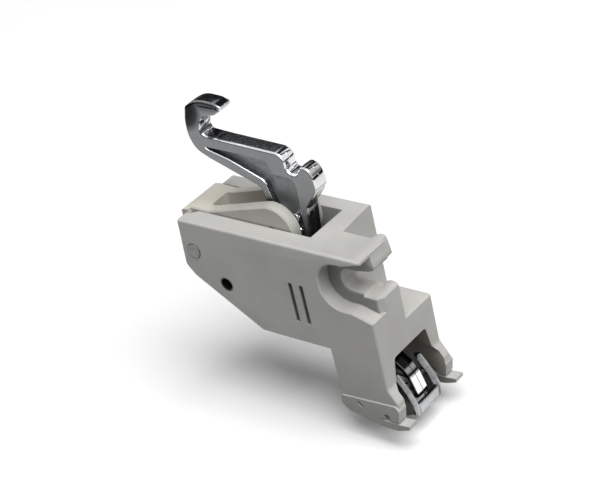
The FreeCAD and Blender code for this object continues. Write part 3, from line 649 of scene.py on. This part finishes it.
def add_yoke(material):
    """A folded channel: two side plates joined by a narrow plate in front of the arm's tail."""
    casting = Casting(lambda point, station: Vector((point.x, station, point.y)) * MM)
    outline = [(p, n * (1.0 if n.x > 0.2 else 0.25)) for p, n in smooth_loop(YOKE_SIDE)]
    for low, high, margin in YOKE_PLATES:
        chamfer = [(margin + 0.1, low), (margin, low + 0.01), (0.04, low + 0.3), (0.0, low + 0.35)]
        far_edge = far_half(side_profile(0.14, 0.14, low, high, 0.0))
        near, far = casting.wall(outline, chamfer + far_edge)
        near_hole, far_hole = casting.wall(ring_loop(*YOKE_PIN_HOLE), [(0.0, low), (0.0, high)])
        casting.cap(near, near_hole)
        casting.cap(far, far_hole)
    casting.place = lambda point, station: Vector((station, point.x, point.y)) * MM
    back, front = casting.wall(smooth_loop(YOKE_FRONT), side_profile(0.13, 0.13, *YOKE_FRONT_REACH, 0.0))
    casting.cap(back)
    casting.cap(front)
    thing = casting.finish("coupling_yoke_channel", material)
    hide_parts("coupling_yoke")
    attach(thing, body_of("coupling_yoke"))


# The white room's strength: as a light, and as the camera and mirror-like surfaces see it.
DAYLIGHT = 0.19
BACKDROP = 1.0
FLOOR_BOUNCE = (0.13, 0.13, 0.127)
FLOOR_SEEN = (0.97, 0.97, 0.97)
FLOOR_REACH = 3.0
HORIZON_RADIUS = 0.32
HORIZON_TOP = 42 * MM


def add_world():
    world = bpy.data.worlds.new("studio")
    bpy.context.scene.world = world
    world.use_nodes = True
    tree = world.node_tree
    shine = tree.nodes["Background"]
    path = tree.nodes.new("ShaderNodeLightPath")
    seen = tree.nodes.new("ShaderNodeMath")
    seen.operation = "MAXIMUM"
    tree.links.new(path.outputs["Is Camera Ray"], seen.inputs[0])
    tree.links.new(path.outputs["Is Glossy Ray"], seen.inputs[1])
    level = tree.nodes.new("ShaderNodeMapRange")
    level.inputs["To Min"].default_value = DAYLIGHT
    level.inputs["To Max"].default_value = BACKDROP
    tree.links.new(seen.outputs[0], level.inputs["Value"])
    tree.links.new(level.outputs["Result"], shine.inputs["Strength"])
    shine.inputs["Color"].default_value = (1.0, 1.0, 1.0, 1.0)


def add_rectangle(bm, half_x, half_y, level):
    corners = [bm.verts.new((x, y, level)) for x, y in
               ((-half_x, -half_y), (half_x, -half_y), (half_x, half_y), (-half_x, half_y))]
    bm.faces.new(corners)


def add_floor():
    bm = bmesh.new()
    add_rectangle(bm, FLOOR_REACH, FLOOR_REACH, FLOOR_LEVEL)
    mesh = bpy.data.meshes.new("floor")
    bm.to_mesh(mesh)
    bm.free()
    n = Nodes("floor_paper")
    path = n.new("ShaderNodeLightPath")
    seen = n.either(path.outputs["Is Camera Ray"], path.outputs["Is Glossy Ray"])
    n.set(Base_Color=n.mix(seen, FLOOR_BOUNCE, FLOOR_SEEN), Roughness=0.9)
    n.set(Specular_IOR_Level=0.0)
    mesh.materials.append(n.material)
    floor = bpy.data.objects.new("floor", mesh)
    bpy.context.scene.collection.objects.link(floor)


def aim(thing, place):
    """Put a thing at a place, facing the middle of the part."""
    thing.location = place
    thing.rotation_euler = (CAMERA_TARGET - Vector(place)).to_track_quat("-Z", "Y").to_euler()


def add_softbox(name, place, size, power):
    data = bpy.data.lights.new(name, "AREA")
    data.shape = "RECTANGLE"
    data.size, data.size_y = size
    data.energy = power
    lamp = bpy.data.objects.new(name, data)
    aim(lamp, place)
    bpy.context.scene.collection.objects.link(lamp)


def add_card(name, bm, color):
    """A studio card that only mirror-like surfaces see."""
    mesh = bpy.data.meshes.new(name)
    bm.to_mesh(mesh)
    bm.free()
    n = Nodes(name + "_cloth")
    n.set(Base_Color=color, Roughness=1.0, Specular_IOR_Level=0.0)
    mesh.materials.append(n.material)
    card = bpy.data.objects.new(name, mesh)
    card.visible_camera = False
    card.visible_diffuse = False
    card.visible_shadow = False
    card.visible_transmission = False
    bpy.context.scene.collection.objects.link(card)
    return card


def add_dark_card(name, place, size, level=0.02):
    bm = bmesh.new()
    add_rectangle(bm, size[0] / 2, size[1] / 2, 0.0)
    card = add_card(name, bm, (level, level * 1.05, level * 1.15))
    aim(card, place)


def add_horizon():
    """The dark room beyond the table's edge, seen by mirror-like surfaces as a low band."""
    bm = bmesh.new()
    count = 48
    low, high = [], []
    for i in range(count):
        turn = 2 * math.pi * i / count
        x, y = HORIZON_RADIUS * math.cos(turn), HORIZON_RADIUS * math.sin(turn)
        low.append(bm.verts.new((x, y, FLOOR_LEVEL + 0.5 * MM)))
        high.append(bm.verts.new((x, y, HORIZON_TOP)))
    for i in range(count):
        j = (i + 1) % count
        bm.faces.new((low[i], low[j], high[j], high[i]))
    add_card("horizon", bm, (0.015, 0.015, 0.015))


def add_studio():
    add_world()
    add_floor()
    add_softbox("key_softbox", (0.85, -0.30, 1.9), (1.75, 1.75), 57.0)
    add_dark_card("rear_card", (-0.40, 0.36, 0.26), (0.46, 0.42), 0.09)
    add_dark_card("top_card", (-0.06, 0.34, 0.44), (0.26, 0.34), 0.16)
    add_dark_card("far_card", (0.175, 0.30, 0.36), (0.08, 0.30))
    add_horizon()


add_camera()
grey = moulded_plastic("grey_moulding", HOLDER_GREY, holder_painted_shading)
link_grey = moulded_plastic("link_moulding", LINK_GREY, link_painted_light, grain=0.8)
chrome = chrome_casting("chrome_plate")
sheet = sheet_steel("yoke_sheet")
dull = steel("dull_pin", (0.27, 0.27, 0.26), 0.42, metallic=0.6)
bright = steel("bright_pin", (0.66, 0.67, 0.69), 0.16)

softened("holder_body", grey, 0.22 * MM)
softened("link_frame", link_grey, 0.25 * MM)
# The arm's recess wall takes darker steel than the chrome as its painted dark reflection; the recess
# floor takes a less metallic steel.
add_feed_arm(chrome, steel("recess_wall", (0.26, 0.27, 0.285), 0.14),
             steel("recess_floor", (0.3, 0.31, 0.32), 0.36, metallic=0.45))
add_yoke(sheet)
softened("link_pivot_pin", dull, 0.15 * MM)
softened("arm_stud", bright, 0.12 * MM)
softened("yoke_pin", steel("yoke_pin_steel", (0.06, 0.06, 0.06), 0.4), 0.06 * MM, segments=2)
for node in ("pin_ring", "arm_pivot_pin", "near_washer", "far_washer"):
    softened(node, bright, 0.06 * MM, segments=2)

add_studio()
bpy.context.scene.view_settings.view_transform = "Standard"
